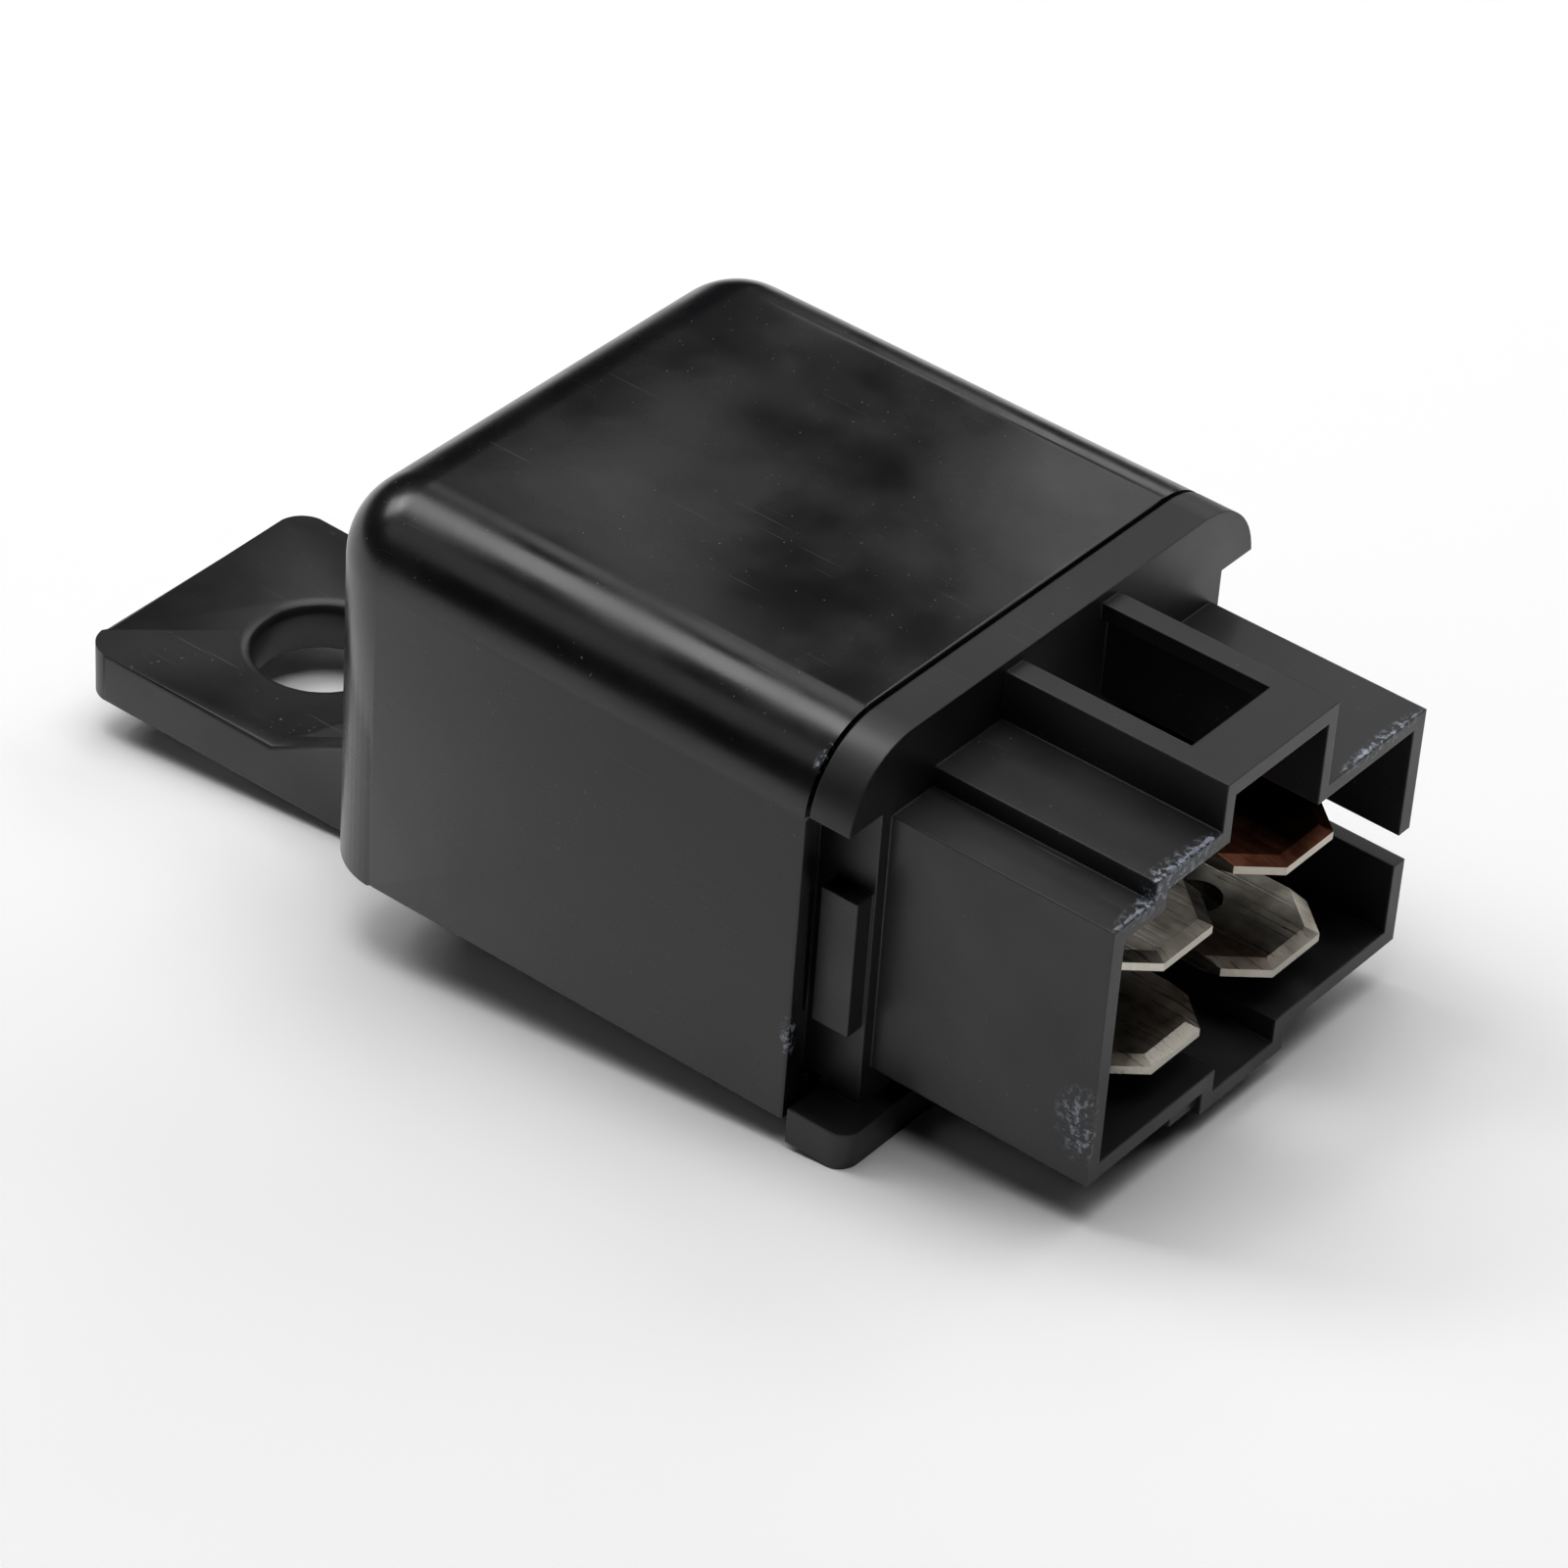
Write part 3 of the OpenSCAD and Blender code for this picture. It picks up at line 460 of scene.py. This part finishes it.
def burrs(name, places, finish):
    """Small torn burrs, each an uneven closed lump half sunk in its surface."""
    chance = random.Random(7)
    solid = bmesh.new()
    for centre, radii in places:
        lump = bmesh.ops.create_icosphere(solid, subdivisions=2, radius=1.0)
        for vert in lump["verts"]:
            swell = 1 + chance.uniform(-0.3, 0.3)
            vert.co = centre + Vector([v * r * swell for v, r in zip(vert.co, radii)])
    new_piece(name, solid, finish, "housing", smooth_to=60)


def burr_row(start, end, count, radii_mm, seed):
    """Places for a row of burrs of uneven size along a front edge."""
    chance = random.Random(seed)
    row = []
    for i in range(count):
        share = (i + chance.uniform(0.1, 0.9)) / count
        size = chance.uniform(0.5, 1.0)
        row.append((start.lerp(end, share), Vector(radii_mm) * size * MM))
    return row


ledge_z = foot_high.z - 2.9 * MM
step_z = foot_high.z - 3.9 * MM
rail_top_z = foot_high.z - 4.8 * MM
front = MOUTH_X - 0.12 * MM
torn_edges = (
    burr_row(Vector((front, -10.8 * MM, step_z)), Vector((front, -8.4 * MM, step_z)), 6, (0.14, 0.3, 0.08), 1)
    + burr_row(Vector((front, -7.6 * MM, ledge_z)), Vector((front, -4.6 * MM, ledge_z)), 8, (0.16, 0.28, 0.1), 2)
    + burr_row(Vector((front, 5.0 * MM, rail_top_z)), Vector((front, 10.6 * MM, rail_top_z)), 7, (0.1, 0.26, 0.05), 3)
)
burrs("torn_front_edges", torn_edges, TORN_NYLON)
gate_y = 3.6 * MM
gate_marks = [
    (Vector((MOUTH_X - back * MM, gate_y, foot_high.z - 4.2 * MM)), Vector((0.28, 0.22, 0.2)) * MM)
    for back in (10.1, 7.0, 5.6)
]
burrs("window_wall_lumps", gate_marks, TORN_NYLON)


# ---- stage ----

# The part leans on two edges: the front of the bracket's slab and the lower edge of its foot
SLAB_EDGE = (slab_high.x, slab_low.z)
FOOT_EDGE = (42.0 * MM, foot_low.z)
LEAN = (FOOT_EDGE[1] - SLAB_EDGE[1]) / (FOOT_EDGE[0] - SLAB_EDGE[0])


def studio_floor():
    """A pale table: tilted to the part's lean near it and easing to level further out."""
    reach, ease, steps, width = 45 * MM, 120 * MM, 96, 900 * MM
    centre = (SLAB_EDGE[0] + FOOT_EDGE[0]) / 2
    start = SLAB_EDGE[1] + LEAN * (centre - SLAB_EDGE[0])

    def height(offset):
        along = min(abs(offset), reach + ease)
        past = max(0.0, along - reach)
        drop = past * past / (2 * ease)
        return start + LEAN * math.copysign(along - drop, offset)

    mesh = bpy.data.meshes.new("studio_floor")
    corners, faces = [], []
    for i in range(steps + 1):
        share = 2 * i / steps - 1
        offset = math.copysign(share * share, share) * width
        for y in (-width, width):
            corners.append((centre + offset, y, height(offset)))
        if i:
            faces.append((2 * i - 2, 2 * i, 2 * i + 1, 2 * i - 1))
    mesh.from_pydata(corners, [], faces)
    mesh.shade_smooth()
    floor = bpy.data.objects.new("studio_floor", mesh)
    bpy.context.scene.collection.objects.link(floor)
    material = bpy.data.materials.new("pale_table")
    material.use_nodes = True
    tree = material.node_tree
    tree.nodes.clear()
    seen = add(tree, "ShaderNodeLightPath", out="Is Camera Ray")
    mirrored = add(tree, "ShaderNodeLightPath", out="Is Glossy Ray")
    either = add(tree, "ShaderNodeMath", {0: seen, 1: mirrored}, operation="MAXIMUM")
    tone = add(tree, "ShaderNodeMix", {0: either, 6: "dcdcde", 7: "ffffff"}, 2, data_type="RGBA")
    card = add(tree, "ShaderNodeBsdfDiffuse", {"Color": tone})
    add(tree, "ShaderNodeOutputMaterial", {"Surface": card})
    mesh.materials.append(material)


def soft_lamp(name, position_mm, size_mm, watts):
    """A soft box aimed at the middle of the part."""
    lamp = bpy.data.lights.new(name, "AREA")
    lamp.shape = "RECTANGLE"
    lamp.size, lamp.size_y = (s * MM for s in size_mm)
    lamp.energy = watts
    holder = bpy.data.objects.new(name, lamp)
    holder.location = Vector(position_mm) * MM
    holder.rotation_mode = "QUATERNION"
    holder.rotation_quaternion = (Vector((20, 0, 10)) - Vector(position_mm)).to_track_quat("-Z", "Y")
    bpy.context.scene.collection.objects.link(holder)


def studio_camera():
    """Long lens at the three-quarter angle, rolled slightly."""
    lens = bpy.data.cameras.new("camera")
    lens.lens, lens.sensor_width = 146.457, 36.0
    lens.clip_start, lens.clip_end = 0.01, 10.0
    camera = bpy.data.objects.new("camera", lens)
    place_at = Vector((159.610, -179.797, 177.712)) * MM
    target = Vector((29.738, -3.529, 12.0)) * MM
    aim = (target - place_at).to_track_quat("-Z", "Y").to_matrix().to_4x4()
    roll = Matrix.Rotation(math.radians(4.1475), 4, "Z")
    camera.matrix_world = Matrix.Translation(place_at) @ aim @ roll
    bpy.context.scene.collection.objects.link(camera)
    bpy.context.scene.camera = camera


def studio_world(low, high):
    """Room light: brightness low near the horizon and high overhead."""
    world = bpy.data.worlds.new("studio")
    bpy.context.scene.world = world
    world.use_nodes = True
    tree = world.node_tree
    tree.nodes.clear()
    where = add(tree, "ShaderNodeTexCoord", out="Generated")
    up = add(tree, "ShaderNodeSeparateXYZ", {"Vector": where}, "Z")
    strength = add(
        tree,
        "ShaderNodeMapRange",
        {"Value": up, "From Min": 0.15, "From Max": 0.5, "To Min": low, "To Max": high},
    )
    sky = add(tree, "ShaderNodeBackground", {"Color": "ffffff", "Strength": strength})
    add(tree, "ShaderNodeOutputWorld", {"Surface": sky})


studio_floor()
soft_lamp("softbox_left", (-230, -300, 300), (220, 160), 0.076)
soft_lamp("softbox_top", (30, 20, 430), (320, 320), 1.02)
soft_lamp("softbox_back_right", (150, 330, 300), (260, 200), 0.304)
soft_lamp("softbox_over_left", (-220, -20, 400), (160, 280), 0.53)
soft_lamp("softbox_key_high", (-170, 210, 370), (140, 140), 0.091)
soft_lamp("softbox_left_high", (-330, -60, 300), (160, 160), 0.346)
soft_lamp("softbox_behind", (-60, 380, 200), (240, 120), 0.205)
studio_world(0.0, 0.0)
studio_camera()
bpy.context.scene.view_settings.view_transform = "Standard"
